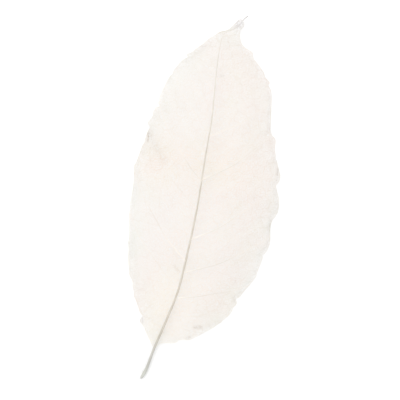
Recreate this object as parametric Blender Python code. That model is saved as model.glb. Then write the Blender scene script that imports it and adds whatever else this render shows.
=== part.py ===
"""A skeleton magnolia leaf lying on a flat surface, its blade arched like a low roof.

The leaf grew as one piece, so it is one closed solid: a thin curved blade with raised side
veins, and the midrib that runs on past the blade as the stalk. X runs across the leaf, Y from
the stalk's end to the tip and Z up. The origin is below the middle of the leaf, on the surface
it lies on.
"""
import math

import bpy
from mathutils import Vector

MM = 0.001

# Driving dimensions, in millimetres.
STALK_END_Y = -75.7
TIP_Y = 75.0
BLADE_THICKNESS = 0.30
STRONG_VEIN_RISE = 0.20      # how far a strong side vein stands out of each face at the rib
VEIN_RISE_AT_MARGIN = 0.25   # the share of that rise left where the vein meets the margin
VEIN_HALF_WIDTH = 0.45
PUFF = 0.22                  # how far the blade bulges between two side veins
RIB_OVERLAP = 0.10           # a blade half starts this far from the rib's centre line
ACROSS_STEPS = 8             # faces from the rib to the margin
ROWS_BETWEEN_VEINS = 2
RIB_SIDES = 8
RIB_RING_SPACING = 3.0
TIP_BEND_Y = 60.0            # past here the rib bends, and its rings stand closer
TIP_RING_SPACING = 0.8

LEFT = -1
RIGHT = 1

# Smooth curves through (Y, value) points.
RIB_X = [(-75.7, -3.75), (-71.0, -2.95), (-63.6, -2.4), (-50.4, -0.8), (-36.5, 0.45),
         (-20.0, -0.3), (-4.5, -1.5), (15.6, -4.1), (31.7, -6.0), (47.5, -9.0), (57.0, -10.6),
         (63.1, -11.2), (65.6, -11.0), (66.9, -9.8), (68.4, -8.0), (70.0, -6.4), (71.5, -5.7),
         (73.2, -5.2), (75.0, -4.4)]
RIB_HEIGHT = [(-75.7, 0.75), (-63.0, 1.5), (-45.0, 3.3), (-20.0, 4.8), (10.0, 4.9), (40.0, 3.8),
              (60.0, 2.8), (68.0, 3.2), (75.0, 4.8)]
RIB_RADIUS = [(-75.7, 0.66), (-73.0, 0.78), (-69.0, 0.68), (-62.0, 0.62), (-50.0, 0.56),
              (-20.0, 0.50), (20.0, 0.44), (42.0, 0.38), (55.0, 0.34), (66.0, 0.29), (71.0, 0.25),
              (75.0, 0.14)]
MARGIN_X = {
    LEFT: [(-61.9, -2.6), (-56.3, -7.7), (-48.5, -12.9), (-43.6, -16.1), (-38.2, -19.0),
           (-33.0, -21.6), (-20.0, -25.0), (-11.0, -27.5), (-2.0, -28.6), (4.8, -30.1),
           (13.0, -29.6), (20.0, -29.2), (30.0, -28.6), (38.0, -28.0), (44.0, -26.4),
           (49.5, -24.4), (56.4, -20.1), (62.6, -15.8), (65.6, -13.2), (66.6, -11.7),
           (67.3, -10.2), (68.3, -9.2), (70.8, -7.8), (72.3, -6.9), (73.4, -5.7), (75.0, -4.5)],
    RIGHT: [(-61.7, -1.7), (-60.0, -0.7), (-58.9, 1.2), (-58.2, 3.3), (-56.9, 6.5),
            (-55.6, 9.2), (-51.6, 14.1), (-46.3, 18.9), (-39.5, 23.2), (-32.0, 25.0),
            (-24.0, 28.1), (-16.0, 29.1), (-10.0, 30.2), (-1.2, 28.4), (3.6, 29.7),
            (8.5, 28.7), (13.6, 26.3), (16.5, 26.8), (22.2, 24.2), (27.3, 21.6), (31.4, 20.6),
            (32.9, 18.5), (39.0, 16.4), (49.5, 13.5), (57.5, 6.4), (60.2, 3.1), (61.9, 2.2),
            (62.8, -0.8), (63.8, -2.9), (66.6, -4.6), (68.6, -5.1), (71.0, -4.2), (72.8, -4.7),
            (75.0, -4.3)],
}
MARGIN_HEIGHT = {
    LEFT: [(-61.9, 1.5), (-50.0, 0.5), (-38.0, 0.0), (-28.0, 0.1), (-10.0, 1.1), (8.0, 0.0),
           (16.0, 0.0), (30.0, 1.2), (46.0, 0.1), (52.0, 0.1), (60.0, 1.1), (66.0, 2.8),
           (70.0, 4.2), (75.0, 4.8)],
    RIGHT: [(-61.7, 1.5), (-54.0, 0.6), (-42.0, 0.0), (-34.0, 0.0), (-20.0, 1.0), (-6.0, 0.0),
            (0.0, 0.0), (11.0, 1.3), (24.0, 0.0), (29.0, 0.1), (40.0, 1.1), (51.0, 0.1),
            (56.0, 0.2), (62.0, 1.4), (68.0, 3.0), (75.0, 4.8)],
}
# Nicks (negative) and teeth (positive) of the margin: Y, depth and half-width.
MARGIN_TEETH = {
    LEFT: [(-53.9, 0.9, 1.2), (-51.3, -0.5, 0.8), (-44.8, 0.4, 0.8), (-39.4, -0.4, 0.9),
           (-36.8, 0.5, 0.7), (-25.0, 0.4, 1.0), (5.4, 0.4, 0.7), (15.6, -0.4, 0.7),
           (22.1, -0.5, 0.8), (23.9, 0.5, 1.0), (31.9, -0.9, 1.6), (38.2, 0.3, 1.0),
           (45.0, -0.3, 0.8), (52.9, -0.5, 0.8), (54.4, 0.3, 0.8)],
    RIGHT: [(-57.9, 0.4, 0.5), (-56.3, -1.8, 0.6), (-54.8, 0.7, 0.6), (-47.8, 0.3, 0.9),
            (-44.8, 0.4, 0.5), (-37.8, -0.6, 0.6), (-34.3, -1.1, 0.8), (-23.5, 0.3, 0.8),
            (-14.7, -0.6, 0.7), (13.7, -0.4, 0.8), (24.0, -0.6, 0.6), (51.2, -0.6, 0.5),
            (52.7, 0.5, 0.7), (54.3, -0.5, 0.6)],
}
# Side veins: Y at the rib, Y at the margin, and how strong the vein is.
SIDE_VEINS = {
    LEFT: [(-57.0, -54.6, 0.4), (-51.5, -45.5, 0.6), (-44.5, -32.0, 0.7), (-36.5, -13.0, 0.9),
           (-25.3, 3.5, 1.0), (-14.0, 11.5, 0.6), (-4.0, 19.5, 0.9), (8.0, 32.0, 1.0),
           (17.5, 40.0, 0.6), (26.5, 46.5, 0.7), (35.0, 51.5, 0.6), (42.5, 55.5, 0.6),
           (49.5, 58.8, 0.5), (55.5, 61.4, 0.4), (60.0, 63.4, 0.3), (63.4, 65.0, 0.3),
           (66.3, 67.0, 0.3), (69.4, 70.2, 0.3)],
    RIGHT: [(-56.5, -56.3, 0.4), (-52.0, -51.0, 0.6), (-47.5, -41.0, 0.8), (-40.3, -27.0, 0.9),
            (-29.8, -14.5, 1.0), (-22.5, 0.0, 0.5), (-16.4, 13.6, 1.0), (-7.5, 22.0, 0.6),
            (0.0, 27.5, 0.5), (8.0, 32.5, 1.0), (16.5, 39.5, 0.6), (25.0, 46.0, 0.9),
            (33.0, 51.0, 0.6), (40.5, 55.3, 0.5), (47.5, 58.8, 0.6), (53.5, 61.6, 0.4),
            (58.5, 63.2, 0.4), (62.8, 66.0, 0.3), (67.5, 70.0, 0.3)],
}
# The first and the last row of each half: Y at the rib and Y at the margin.
ROW_ENDS = {
    LEFT: ((-61.0, -60.9), (72.4, 72.7)),
    RIGHT: ((-61.0, -60.9), (72.5, 72.8)),
}
# A side vein leaves the rib almost straight and then bends towards the tip: its control
# point, as shares of its run across and along the leaf. A short vein bends less.
VEIN_ELBOW = (0.64, 0.41)
FULL_BEND_LENGTH = 10.0
# A soft crease that runs in from the nick in the left margin.
CREASE_START = Vector((-28.9, 21.8))
CREASE_END = Vector((-18.9, 9.8))
CREASE_DEPTH = 0.9
CREASE_HALF_WIDTH = 1.5
# Stretches where the margin curls up: side, from Y, to Y, and rise.
CURLS = [(RIGHT, -48.0, -35.5, 0.7), (RIGHT, -13.0, 2.5, 1.0), (RIGHT, 14.0, 25.0, 0.8),
         (RIGHT, 33.0, 49.0, 0.9), (LEFT, 54.0, 65.0, 0.8)]
CURL_WIDTH = 0.10            # the share of the blade's half-width that curls


def smooth_value(points, at):
    """Read a smooth curve through (place, value) points, which never overshoots them."""
    if at <= points[0][0]:
        return points[0][1]
    if at >= points[-1][0]:
        return points[-1][1]
    index = max(i for i, point in enumerate(points) if point[0] <= at)
    place, value = points[index]
    next_place, next_value = points[index + 1]
    span = next_place - place
    share = (at - place) / span
    start = slope_at(points, index) * span
    end = slope_at(points, index + 1) * span
    rise = next_value - value
    bend = 3 * rise - 2 * start - end
    twist = start + end - 2 * rise
    return value + share * (start + share * (bend + share * twist))


def slope_at(points, index):
    """The curve's slope at one of its points: zero at a peak, else between its two sides'."""
    slopes = [(points[i + 1][1] - points[i][1]) / (points[i + 1][0] - points[i][0])
              for i in (index - 1, index) if 0 <= i < len(points) - 1]
    before, after = slopes[0], slopes[-1]
    if before * after <= 0:
        return 0.0
    return 2 * before * after / (before + after)


def rib_x(y):
    """X of the rib's centre line at Y."""
    return smooth_value(RIB_X, y)


def margin_x(side, y):
    """X of the blade's margin at Y, with its nicks and teeth."""
    edge = smooth_value(MARGIN_X[side], y)
    for place, depth, half_width in MARGIN_TEETH[side]:
        edge += side * depth * math.exp(-((y - place) / half_width) ** 2)
    return edge


def share_across(side, x, y):
    """How far (x, y) lies from the rib, as a share of the way to the margin."""
    middle = rib_x(y)
    return min(max((x - middle) / (margin_x(side, y) - middle), 0.0), 1.0)


def crease_drop(x, y):
    """How far the soft crease lowers the blade at (x, y)."""
    run = CREASE_END - CREASE_START
    offset = Vector((x, y)) - CREASE_START
    share = min(max(offset.dot(run) / run.length_squared, 0.0), 1.0)
    distance = (offset - share * run).length
    return CREASE_DEPTH * (1 - share) * math.exp(-(distance / CREASE_HALF_WIDTH) ** 2)


def curl_rise(side, across, y):
    """How far the curled stretches of the margin rise at Y."""
    curl = max(0.0, (across - (1 - CURL_WIDTH)) / CURL_WIDTH) ** 2
    rise = 0.0
    for curl_side, low, high, height in CURLS:
        if curl_side == side and low < y < high:
            rise += height * curl * math.sin(math.pi * (y - low) / (high - low)) ** 2
    return rise


def blade_height(side, x, y, between_veins):
    """Height of the blade's middle surface; between_veins runs 0 to 1 from vein to vein."""
    across = share_across(side, x, y)
    rib = smooth_value(RIB_HEIGHT, y)
    margin = smooth_value(MARGIN_HEIGHT[side], y)
    height = margin + (rib - margin) * (0.5 + 0.5 * math.cos(math.pi * across))
    height += PUFF * math.sin(math.pi * between_veins) * math.sin(math.pi * across)
    height -= crease_drop(x, y)
    return height + curl_rise(side, across, y)


def vein_point(side, start, end, share):
    """A point on the curve from Y start at the rib to Y end at the margin."""
    root = Vector((rib_x(start) + side * RIB_OVERLAP, start))
    tip = Vector((margin_x(side, end), end))
    run = tip - root
    bend = min(1.0, run.length / FULL_BEND_LENGTH) ** 2
    across, along = (0.5 + bend * (place - 0.5) for place in VEIN_ELBOW)
    elbow = root + Vector((run.x * across, run.y * along))
    return (1 - share) ** 2 * root + 2 * share * (1 - share) * elbow + share ** 2 * tip


def blade_rows(side):
    """The rows of the blade's grid: Y at rib, Y at margin, vein strength, place between veins."""
    first, last = ROW_ENDS[side]
    lines = [(*first, 0.0)] + SIDE_VEINS[side] + [(*last, 0.0)]
    rows = []
    for index, (start, end, strength) in enumerate(lines):
        edge = 0.0
        if strength:
            edge = VEIN_HALF_WIDTH
            rows.append((start - edge, end - edge, 0.0, 0.0))
        rows.append((start, end, strength, 0.0))
        if strength:
            rows.append((start + edge, end + edge, 0.0, 0.0))
        if index == len(lines) - 1:
            break
        next_start, next_end, next_strength = lines[index + 1]
        next_edge = VEIN_HALF_WIDTH if next_strength else 0.0
        for step in range(1, ROWS_BETWEEN_VEINS + 1):
            share = step / (ROWS_BETWEEN_VEINS + 1)
            low = (start + edge, end + edge)
            high = (next_start - next_edge, next_end - next_edge)
            rows.append((low[0] + share * (high[0] - low[0]),
                         low[1] + share * (high[1] - low[1]), 0.0, share))
    return rows


def blade_half(side):
    """One half of the blade as a closed sheet whose grid follows the side veins."""
    rows = blade_rows(side)
    columns = ACROSS_STEPS + 1
    upper = []
    lower = []
    for start, end, strength, between in rows:
        for step in range(columns):
            share = math.sin(0.5 * math.pi * step / ACROSS_STEPS)
            x, y = vein_point(side, start, end, share)
            middle = blade_height(side, x, y, between)
            rise = strength * STRONG_VEIN_RISE * (1 - (1 - VEIN_RISE_AT_MARGIN) * share)
            half = BLADE_THICKNESS / 2 + rise
            bottom = max(middle - half, 0.0)
            lower.append((x, y, bottom))
            upper.append((x, y, bottom + 2 * half))
    count = len(upper)
    faces = []
    for row in range(len(rows) - 1):
        for step in range(columns - 1):
            corner = row * columns + step
            loop = [corner, corner + 1, corner + columns + 1, corner + columns]
            faces.append(loop)
            faces.append([count + index for index in reversed(loop)])
    bottom_edge = list(range(columns))
    margin_edge = [row * columns + columns - 1 for row in range(len(rows))]
    top_edge = [(len(rows) - 1) * columns + step for step in reversed(range(columns))]
    rib_edge = [row * columns for row in reversed(range(len(rows)))]
    border = bottom_edge + margin_edge[1:] + top_edge[1:] + rib_edge[1:-1]
    for here, after in zip(border, border[1:] + border[:1]):
        faces.append([after, here, count + here, count + after])
    if side == LEFT:
        faces = [list(reversed(face)) for face in faces]
    return mesh_object("blade_half_left" if side == LEFT else "blade_half_right",
                       upper + lower, faces)


def spaced(low, high, spacing):
    """Evenly spaced places from low to high, about the given spacing apart."""
    steps = round((high - low) / spacing)
    return [low + (high - low) * step / steps for step in range(steps + 1)]


def rib_and_stalk():
    """The midrib and stalk: one tapering round rib along the leaf."""
    places = spaced(STALK_END_Y, TIP_BEND_Y, RIB_RING_SPACING)
    places += spaced(TIP_BEND_Y, TIP_Y, TIP_RING_SPACING)[1:]
    path = [Vector((rib_x(y), y, smooth_value(RIB_HEIGHT, y))) for y in places]
    rings = len(path) - 1
    points = []
    for ring, centre in enumerate(path):
        ahead = path[min(ring + 1, rings)] - path[max(ring - 1, 0)]
        across = ahead.cross(Vector((0, 0, 1))).normalized()
        upward = across.cross(ahead).normalized()
        radius = smooth_value(RIB_RADIUS, centre.y)
        for corner in range(RIB_SIDES):
            angle = math.tau * (corner + 0.5) / RIB_SIDES
            point = centre + radius * (math.cos(angle) * across + math.sin(angle) * upward)
            points.append((point.x, point.y, max(point.z, 0.0)))
    faces = [list(range(RIB_SIDES)),
             [rings * RIB_SIDES + corner for corner in reversed(range(RIB_SIDES))]]
    for ring in range(rings):
        for corner in range(RIB_SIDES):
            here = ring * RIB_SIDES + corner
            beside = ring * RIB_SIDES + (corner + 1) % RIB_SIDES
            faces.append([beside, here, here + RIB_SIDES, beside + RIB_SIDES])
    return mesh_object("leaf", points, faces)


def mesh_object(name, points, faces):
    """Add an object to the scene from points in millimetres and faces."""
    mesh = bpy.data.meshes.new(name)
    mesh.from_pydata([Vector(point) * MM for point in points], [], faces)
    mesh.update()
    thing = bpy.data.objects.new(name, mesh)
    bpy.context.scene.collection.objects.link(thing)
    return thing


def leaf_material():
    """Bleached leaf fibre: matt, off-white and slightly warm."""
    material = bpy.data.materials.new("leaf_fibre")
    material.use_nodes = True
    shader = material.node_tree.nodes["Principled BSDF"]
    shader.inputs["Base Color"].default_value = (0.84, 0.78, 0.70, 1.0)
    shader.inputs["Roughness"].default_value = 0.85
    shader.inputs["Metallic"].default_value = 0.0
    return material


def join_to(leaf, half):
    """Fuse a blade half to the rib; the half itself is only a guide."""
    half.hide_render = True
    half.display_type = "WIRE"
    union = leaf.modifiers.new("join_" + half.name, "BOOLEAN")
    union.operation = "UNION"
    union.solver = "EXACT"
    union.object = half


def build_leaf():
    """Build the leaf as one closed solid: the rib and stalk with both blade halves fused on."""
    leaf = rib_and_stalk()
    for side in (LEFT, RIGHT):
        join_to(leaf, blade_half(side))
    leaf.data.materials.append(leaf_material())
    leaf.data.shade_smooth()
    leaf.data.set_sharp_from_angle(angle=math.radians(40))
    return leaf


for thing in list(bpy.context.scene.objects):
    bpy.data.objects.remove(thing, do_unlink=True)
build_leaf()
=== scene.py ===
"""The looks of a skeleton magnolia leaf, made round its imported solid.

The solid is a closed sheet. Here it is replaced by what the leaf is made of: an open net of
veins, the side veins, and the fibrous midrib and stalk. The net is drawn flat, in millimetres,
as the cells between its veins. It is then bent to the leaf's own low arch, and its margin is
rolled over where the leaf has curled as it dried.
"""

import math

import bpy
import numpy as np
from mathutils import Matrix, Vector
from mathutils.geometry import delaunay_2d_cdt
from mathutils.kdtree import KDTree


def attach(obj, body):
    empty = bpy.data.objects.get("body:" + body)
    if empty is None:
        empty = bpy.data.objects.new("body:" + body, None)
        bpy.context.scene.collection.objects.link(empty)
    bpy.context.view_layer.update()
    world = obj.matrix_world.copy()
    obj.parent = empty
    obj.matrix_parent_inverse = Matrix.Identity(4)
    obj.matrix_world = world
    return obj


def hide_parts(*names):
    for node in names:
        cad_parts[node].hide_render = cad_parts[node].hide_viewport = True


MM = 0.001
LEFT = -1
RIGHT = 1
SIDES = (LEFT, RIGHT)
TINY = 1e-6  # the least length that anything is divided by

# The leaf's shape in plan and in height, in millimetres: smooth curves through (Y, value).
STALK_END_Y = -75.7
TIP_Y = 75
BLADE_BASE_Y = -61.3
RIB_X = [
    (-75.7, -4.1), (-73.8, -3.5), (-71, -2.9), (-63.6, -2.4), (-50.4, -0.8), (-36.5, 0.45), (-20, -0.3),
    (-4.5, -1.5), (15.6, -4.1), (31.7, -6), (47.5, -9), (57, -10.6), (63.1, -11.2), (65.6, -11),
    (66.9, -9.8), (68.4, -8), (70, -6.4), (71.5, -5.7), (73.2, -5), (75, -3.75)]
RIB_HEIGHT = [
    (-75.7, 0.75), (-63, 1.5), (-45, 3.3), (-20, 4.8), (10, 4.9), (40, 3.8), (60, 2.8), (68, 3.2),
    (75, 4.8)]
RIB_RADIUS = [
    (-75.7, 0.28), (-74.7, 0.52), (-73, 0.67), (-69, 0.52), (-62, 0.48), (-50, 0.42), (-20, 0.36),
    (20, 0.27), (42, 0.2), (55, 0.12), (64, 0.1), (67, 0.13), (72, 0.12), (73.6, 0.17), (75, 0.17)]
MARGIN_X = {LEFT: [
    (-61.9, -2.6), (-56.3, -7.7), (-48.5, -12.9), (-43.6, -16.1), (-38.2, -19), (-33, -21.6),
    (-20, -25), (-11, -27.5), (-2, -28.6), (4.8, -30.1), (13, -29.7), (20, -29.2), (30, -28.9),
    (38, -28.1), (44, -26.9), (49.5, -24.9), (56.4, -20.5), (62.6, -15.8), (65.6, -13.2), (66.6, -11.7),
    (67.3, -10.2), (68.3, -9.2), (70.8, -7.8), (72.3, -6.9), (73.4, -5.7), (75, -4.5),
], RIGHT: [
    (-61.7, -1.7), (-60, -0.7), (-58.9, 1.2), (-58.5, 3.3), (-56.9, 6.5), (-55.6, 9.2), (-51.6, 14.1),
    (-46.3, 19.05), (-39.5, 23.35), (-32, 25.1), (-24, 28.25), (-16, 29.1), (-10, 30.2), (-1.2, 28.4),
    (3.6, 29.7), (8.5, 28.7), (13.6, 26.3), (16.5, 26.8), (22.2, 24.2), (27.3, 21.6), (31.4, 20.6),
    (32.9, 18.5), (39, 16.4), (49.5, 13.5), (57.5, 6.5), (60.2, 2.8), (61.9, 2.2), (62.8, -0.8),
    (63.8, -2.9), (66.6, -4.6), (68.6, -5.1), (71, -4.2), (72.8, -4.7), (75, -4.3)]}
MARGIN_HEIGHT = {LEFT: [
    (-61.9, 1.5), (-50, 0.5), (-38, 0), (-28, 0.1), (-10, 1.1), (8, 0), (16, 0), (30, 1.2), (46, 0.1),
    (52, 0.1), (60, 1.1), (66, 2.8), (70, 4.2), (75, 4.8),
], RIGHT: [
    (-61.7, 1.5), (-54, 0.6), (-42, 0), (-34, 0), (-20, 1), (-6, 0), (0, 0), (11, 1.3), (24, 0),
    (29, 0.1), (40, 1.1), (51, 0.1), (56, 0.2), (62, 1.4), (68, 3), (75, 4.8)]}
# Nicks (negative) and teeth (positive) of the margin: Y, depth and half-width.
MARGIN_TEETH = {LEFT: [
    (-53.5, 1.1, 1.1), (-51.2, -0.8, 0.8), (-44.8, 0.4, 0.8), (-39.4, -0.4, 0.9), (-36.8, 0.5, 0.7),
    (-25, 0.4, 1), (5.4, 0.5, 0.8), (15.6, -0.4, 0.7), (21.8, -0.7, 0.5), (23.6, 1, 1.4),
    (28.2, 0.4, 0.6), (31.1, -1.6, 0.7), (33, -0.5, 0.8), (45, -0.6, 0.6), (52.9, -0.8, 0.6),
    (54.2, 0.9, 0.6), (59.3, -0.3, 1.3), (64.4, -0.4, 0.7),
], RIGHT: [
    (-57.9, 0.4, 0.5), (-56.3, -1.8, 0.6), (-54.8, 0.7, 0.6), (-47.8, 0.3, 0.9), (-44.8, 0.4, 0.5),
    (-37.8, -0.6, 0.6), (-34.3, -1.1, 0.8), (-23.5, 0.3, 0.8), (-14.4, -0.9, 0.7), (13.7, -0.4, 0.8),
    (24, -0.6, 0.6), (51.2, -0.9, 0.6), (52.7, 0.5, 0.7), (54.3, -0.5, 0.6), (56, 0.35, 0.7)]}
# Side veins: Y at the rib, Y at the margin, and how strong the vein is.
SIDE_VEINS = {LEFT: [
    (-57, -54.6, 0.4), (-51.5, -45.5, 0.6), (-44.5, -32, 0.7), (-36.5, -13, 0.9), (-25.3, 3.5, 1),
    (-14, 11.5, 0.6), (-4, 19.5, 0.9), (7.1, 31.4, 1), (17.5, 40, 0.6), (26.5, 46.5, 0.7),
    (35, 51.5, 0.6), (42.5, 55.5, 0.6), (49.5, 58.8, 0.5), (55.5, 61.4, 0.4), (60, 63.4, 0.3),
    (63.4, 65, 0.3), (66.3, 67, 0.3), (69.4, 70.2, 0.3),
], RIGHT: [
    (-56.5, -56.3, 0.4), (-52, -51, 0.6), (-47.5, -41, 0.8), (-40.3, -27, 0.9), (-35.5, -17.5, 0.4),
    (-30, -5.5, 1), (-22.5, 3.5, 0.5), (-16.4, 13.6, 1), (-7.5, 22, 0.6), (0, 27.5, 0.5),
    (7.6, 32.8, 1), (16.5, 39.5, 0.6), (25, 46, 0.9), (33, 51, 0.6), (40.5, 55.3, 0.5),
    (47.5, 58.8, 0.6), (53.5, 61.6, 0.4), (58.5, 63.2, 0.4), (62.8, 66, 0.3), (67.5, 70, 0.3)]}
VEIN_ELBOW = (0.64, 0.41)  # a side vein's control point, as shares of its run across and along
FULL_BEND_LENGTH = 10  # a shorter vein bends less
VEIN_SWAY = 0.008  # how far a side vein wanders, as a share of its length
SWAY_BENDS = 3
VEIN_POINTS = 40
RUN_ON = 8  # how many of its last steps a side vein is carried past the margin
PUFF = 0.22  # how far the blade bulges between two side veins
PUFF_REACH = 3.5  # from a side vein to the top of the bulge beside it
# The unevenness of the dried blade: height, and two waves as turns along X and Y and a start.
COCKLES = [(0.07, (0.83, 0.41, 1), (0.37, -0.62, 0)), (0.045, (1.71, -0.94, 2.1), (0.77, 1.37, 0.4))]
# Creases: from, to, depth and half-width. The first runs in from the nick in the left margin.
CREASES = [
    ((-28.9, 21.8), (-18.9, 9.8), 0.6, 1.7), ((-18.9, 9.8), (-9.4, 9.4), 0.25, 1.2),
    ((11, -49.9), (14.6, -48.6), 0.5, 0.5), ((9.6, -54.2), (13, -51.6), 0.4, 0.6)]
# Stretches where the margin lifts and then rolls over: side, from Y, to Y, lift and roll radius.
ROLLS = [
    (RIGHT, -55, -48, 0.3, 0.2), (RIGHT, -48, -35.5, 0.3, 0.35), (RIGHT, -34.5, -16, 0.3, 0.28),
    (RIGHT, -13, 2.5, 0.4, 0.55), (RIGHT, 3, 13, 0.3, 0.32), (RIGHT, 14, 25, 0.4, 0.28),
    (RIGHT, 25.3, 31.6, 0.3, 0.22), (RIGHT, 33, 49, 0.4, 0.42), (LEFT, 15.5, 21.8, 0.2, 0.45),
    (LEFT, 55.5, 65.5, 0.3, 0.3), (LEFT, 66.7, 73, 0.3, 0.4)]
ROLL_ANGLE = 2.7  # how far round a rolled margin goes, in radians
MOST_TURN = ROLL_ANGLE * 1.1
NO_ROLL = 1e-4  # a margin that rolls with a smaller radius lies flat
LIFT_WIDTH = 0.1  # the share of the blade's half-width that lifts

# The net, in millimetres.
SPACING = 0.46  # between the middles of neighbouring holes
FINE_VEIN = 0.034  # half-widths of veins
MARGIN_VEIN = {LEFT: 0.08, RIGHT: 0.07}
RIB_EDGE_VEIN = 0.1
CORE_SHARE = 0.7  # how much of a side vein's width the net itself has
SIDE_VEIN_ROOT = 0.165
SIDE_VEIN_END = 0.075
ROOT_FLARE = (0.5, 0.03)  # a side vein widens by this share, over this share of its length
VEIN_TAPER = 0.7
# The two coarser fields of the net: the spacing of their cells, half-width and rank of their veins.
FIELDS = [(4.3, 0.065, 0.45), (1.55, 0.048, 0.2)]
FIELD_JITTER = 0.3  # how far points are shaken off their grid, as shares of the spacing
FILL_JITTER = 0.4
UNEVEN_WIDTHS = (0.8, 1.25)  # the finest veins vary by these factors, and the next ones by less
UNEVEN_COUNT = 997  # how many different factors there are
FIELD_UNEVENNESS = 0.1
MARGIN_RANK = 0.5
RANK_DROP = 0.4  # how far a side vein's rank falls from 1 towards the margin
SEED = 12
MERGE_DISTANCE = 1e-5  # seeds that lie closer count as one
SURROUND_SIZE = (60, 110)  # an oval of seeds well outside the leaf, and how many they are
SURROUND_COUNT = 60
HOLE_REACH = 0.22  # from a vein's edge to the middle of the first holes beside it
CLOSEST_ROWS = 0.55  # the least distance between seeds, as shares of the spacing
CLOSEST_FILL = 0.68
MISSING_SHARE = 0.08  # the share of seeds left out, for some larger holes
RELAX_ROUNDS = 4
RELAX_SHARE = 0.6  # how far each round moves a corner towards the middle of its neighbours
HEIGHT_SHARE = 0.9  # a vein's half-height as a share of its half-width
SEAM_REACH = 0.4  # how far a piece's edge runs past the middle of the vein it ends on
STRAIGHT = 0.2  # veins that meet at a smaller sine of their angle count as one line
HOLE_ROOM = 0.7  # the most of the way to the hole's middle that its corner may go
LONGEST_CORNER = 2.5  # the furthest it may stand off, in half-widths of the vein
NORMAL_STEP = 0.05  # over which the slope of the blade is taken
FLOOR_GAP = 0.2  # the least height of the middle of the blade
FLOOR_SOFTNESS = 0.25  # how gently the blade flattens where it comes down to the floor
CURVE_STEP = 0.15
WIDEST_X = 33
# Small tears in the net: X, Y, half-width and half-length.
TEARS = [(10.3, -51.5, 0.9, 0.6), (16.8, -38.2, 0.5, 0.9), (-20.5, -9, 0.6, 0.8)]
BLADE_TIP_Y = 72.7  # the net ends here, and the midrib runs on alone
# Frayed margin: how deep it frays where the raggedness is over a level, and the raggedness as
# waves with their turn for each millimetre and their shift from side to side.
FRAYS = [(0.75, 2.1), (0.4, 1.6)]
FRAY_WAVES = [(2.9, 1), (7.3, 2), (0.43, 0)]
# Towards the tip veins crowd together: from Y, over a length, and how much wider they are. In a
# strip left of the rib, and then on both sides, they are matted: from Y and over a length.
CROWDED = (62, 8, 0.25)
MATTED_STRIP = (64.5, 2)
MATTED_STRIP_WIDTH = 0.6
MATTED_TIP = (69, 1)
MATTING = 0.6
# Brown specks, and brown-tinged painted shade drawn out along folds and rolled edges: from, to,
# half-width and depth of colour.
STAINS_AND_FOLD_SHADE = [
    ((-7.3, 49.35), (-6.5, 49.5), 0.55, 0.5), ((-28.6, 19.4), (-27.9, 16.5), 0.45, 0.8),
    ((-28, 18.7), (-23.1, 13.8), 1.3, 0.28), ((-23.1, 13.8), (-18.9, 10.3), 1.6, 0.18),
    ((-18.9, 10.3), (-9.4, 9.8), 0.9, 0.08), ((11, -49.7), (13.3, -49), 0.6, 0.8),
    ((9.7, -54.4), (10.4, -54), 0.6, 0.6), ((-10.2, -52.2), (-9.8, -53.5), 0.5, 0.2),
    ((17.2, 35.2), (16.2, 32.3), 0.4, 0.25), ((24.9, 20.6), (25.7, 15.6), 0.35, 0.5),
    ((28.6, -4.5), (28.2, -0.5), 0.4, 0.5), ((-18, 57.5), (-11.8, 64.8), 1.6, 0.14),
    ((-3.8, -28.3), (-1.7, -29.8), 0.7, 0.3), ((19.1, 7.4), (19.4, 5.8), 0.35, 0.25),
    ((21.2, -27), (21.3, -28.6), 0.35, 0.3), ((22.6, -33), (23.2, -35.2), 0.4, 0.35),
    ((-26, 7.4), (-25.3, 5.2), 0.3, 0.22)]
# Where the blade's colour is its own, and along the left crease partly painted crease shade: X, Y,
# half-width, half-length and the colour there.
TINTS = [
    (-4, 13, 22, 7.5, (0.997, 0.962, 0.905)), (-22.5, 8.5, 8.5, 9, (0.985, 0.915, 0.875)),
    (-1, -46, 6, 13, (1, 0.995, 0.965)), (-17, -42, 8, 14, (0.98, 0.955, 0.97)),
    (-4, 61, 14, 8, (0.98, 0.96, 0.94)), (-10.4, 64.1, 4, 4, (0.95, 0.965, 0.92)),
    (-6.2, 65.4, 3, 3.5, (1.01, 1.05, 1.03)), (-6.2, 71.3, 2.6, 2.6, (0.9, 0.96, 1.03)),
    (-4.9, 70.6, 0.9, 1.2, (0.98, 0.98, 0.97)), (-9.6, 67.9, 2.8, 1.1, (1.02, 1.08, 1.08)),
    (5, 36, 8, 14, (0.965, 0.99, 0.985)), (-22, 44, 8, 10, (1.01, 1.025, 1.03)),
    (16, -18, 10, 9, (0.98, 0.98, 0.975)), (12, -43, 9, 9, (0.988, 0.988, 1.005)),
    (-10, -52.8, 0.8, 1.2, (0.84, 0.87, 0.94)), (-11, 43.5, 4.5, 12, (1.01, 1.03, 1.03)),
    (6, 19, 7, 14, (0.99, 0.988, 0.972)), (-15, 4, 8, 6, (1.005, 1.005, 0.985)),
    (-8, -53.5, 3, 5, (0.975, 0.975, 0.985)), (9.5, 48, 3.5, 5, (1, 1.02, 1.02))]
# Bands along the margin, the darker ones painted shade of the lifted, rolled edge: side, from Y,
# to Y, how far in the middle lies, how fast the band fades on both sides of it, and its colour.
RIMS_AND_EDGE_SHADE = [
    (LEFT, -80, 80, 0.9, 1.6, (0.965, 0.955, 0.955)), (LEFT, -80, 80, 0, 5, (0.975, 1, 0.995)),
    (LEFT, -50, -36, 0.5, 1, (1.05, 1.055, 1.055)), (LEFT, -32, -21, 1.1, 0.9, (0.95, 0.955, 0.955)),
    (LEFT, -12, 0, 0.9, 1, (0.93, 0.94, 0.94)), (LEFT, -35, -4, 2.5, 2.5, (1.005, 1.018, 1.015)),
    (LEFT, 27, 52, 0.5, 2.2, (1.04, 1.045, 1.045)), (RIGHT, -80, 80, 1.2, 0.6, (0.955, 0.945, 0.945)),
    (RIGHT, -80, 80, 0, 5, (0.965, 1.01, 1.015)), (RIGHT, -34, 18, 1.4, 0.9, (0.935, 0.95, 0.95)),
    (RIGHT, 33, 48, 1.2, 0.9, (0.925, 0.93, 0.93))]
RIM_FADE = 4  # how far along the margin a band takes to come up to its full depth
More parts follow.
